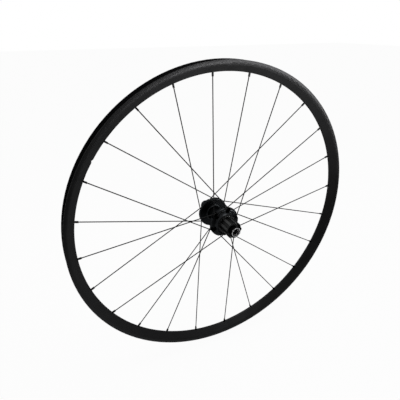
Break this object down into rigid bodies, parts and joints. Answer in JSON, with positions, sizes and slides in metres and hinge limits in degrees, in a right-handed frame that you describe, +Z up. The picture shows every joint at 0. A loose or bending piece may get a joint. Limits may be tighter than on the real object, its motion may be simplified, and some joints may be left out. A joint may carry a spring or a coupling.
{
  "type": "bicycle rear wheel",
  "caption": "Spoked bicycle rear wheel for a disc brake: hollow rim, straight-pull spokes, and a hub with a splined cassette body, ratchet and thru-axle bore.",
  "frame": {"origin": "wheel centre: on the axle, midway between the two end caps, on the middle plane of the rim", "axes": "+Y along the axle from the cassette side to the brake rotor side; +Z up; +X forwards"},
  "size_m": [0.6335, 0.142, 0.6336],
  "materials": {
    "rim_black": "satin black anodised",
    "hub_black": "satin black anodised",
    "spoke_black": "black oxide",
    "nipple_black": "black anodised",
    "freehub_alloy": "dark grey anodised",
    "end_cap": "black anodised, faced end bare",
    "axle_alloy": "turned",
    "bearing_steel": "ground",
    "ratchet_steel": "hardened",
    "spring_steel": "bright wire",
    "seal_rubber": "matt"
  },
  "bodies": {
    "axle_assembly": {"axle": "axle_alloy", "rotor_end_cap": "end_cap", "drive_end_cap": "end_cap", "long_axle_sleeve": "axle_alloy", "short_axle_spacer": "axle_alloy", "rotor_hub_bearing_inner_ring": "bearing_steel", "drive_hub_bearing_inner_ring": "bearing_steel", "inner_freehub_bearing_inner_ring": "bearing_steel", "outer_freehub_bearing_inner_ring": "bearing_steel"},
    "wheel": {"rim": "rim_black", "hub_shell": "hub_black", "drive_side_nipples": "nipple_black", "rotor_side_nipples": "nipple_black", "fixed_ratchet_ring": "ratchet_steel", "rotor_hub_bearing_outer_ring": "bearing_steel", "drive_hub_bearing_outer_ring": "bearing_steel", "drive_spoke_01": "spoke_black", "drive_spoke_02": "spoke_black", "drive_spoke_03": "spoke_black", "drive_spoke_04": "spoke_black", "drive_spoke_05": "spoke_black", "drive_spoke_06": "spoke_black", "drive_spoke_07": "spoke_black", "drive_spoke_08": "spoke_black", "drive_spoke_09": "spoke_black", "drive_spoke_10": "spoke_black", "drive_spoke_11": "spoke_black", "drive_spoke_12": "spoke_black", "rotor_spoke_01": "spoke_black", "rotor_spoke_02": "spoke_black", "rotor_spoke_03": "spoke_black", "rotor_spoke_04": "spoke_black", "rotor_spoke_05": "spoke_black", "rotor_spoke_06": "spoke_black", "rotor_spoke_07": "spoke_black", "rotor_spoke_08": "spoke_black", "rotor_spoke_09": "spoke_black", "rotor_spoke_10": "spoke_black", "rotor_spoke_11": "spoke_black", "rotor_spoke_12": "spoke_black"},
    "freehub": {"freehub_body": "freehub_alloy", "freehub_seal": "seal_rubber", "ratchet_spring": "spring_steel", "inner_freehub_bearing_outer_ring": "bearing_steel", "outer_freehub_bearing_outer_ring": "bearing_steel"},
    "ratchet": {"sliding_ratchet_ring": "ratchet_steel"}
  },
  "joints": [
    {"name": "wheel_spin", "type": "hinge", "parent": "axle_assembly", "child": "wheel", "pos_m": [0, 0, 0], "axis": [0, 1, 0], "continuous": true},
    {"name": "freehub_spin", "type": "hinge", "parent": "axle_assembly", "child": "freehub", "pos_m": [0, 0, 0], "axis": [0, 1, 0], "continuous": true},
    {"name": "ratchet_slide", "type": "slide", "parent": "freehub", "child": "ratchet", "axis": [0, 1, 0], "range_m": [-0.0012, 0], "stiffness_N_per_m": 800, "springref_m": 0.003, "deforming": ["ratchet_spring"]}
  ]
}
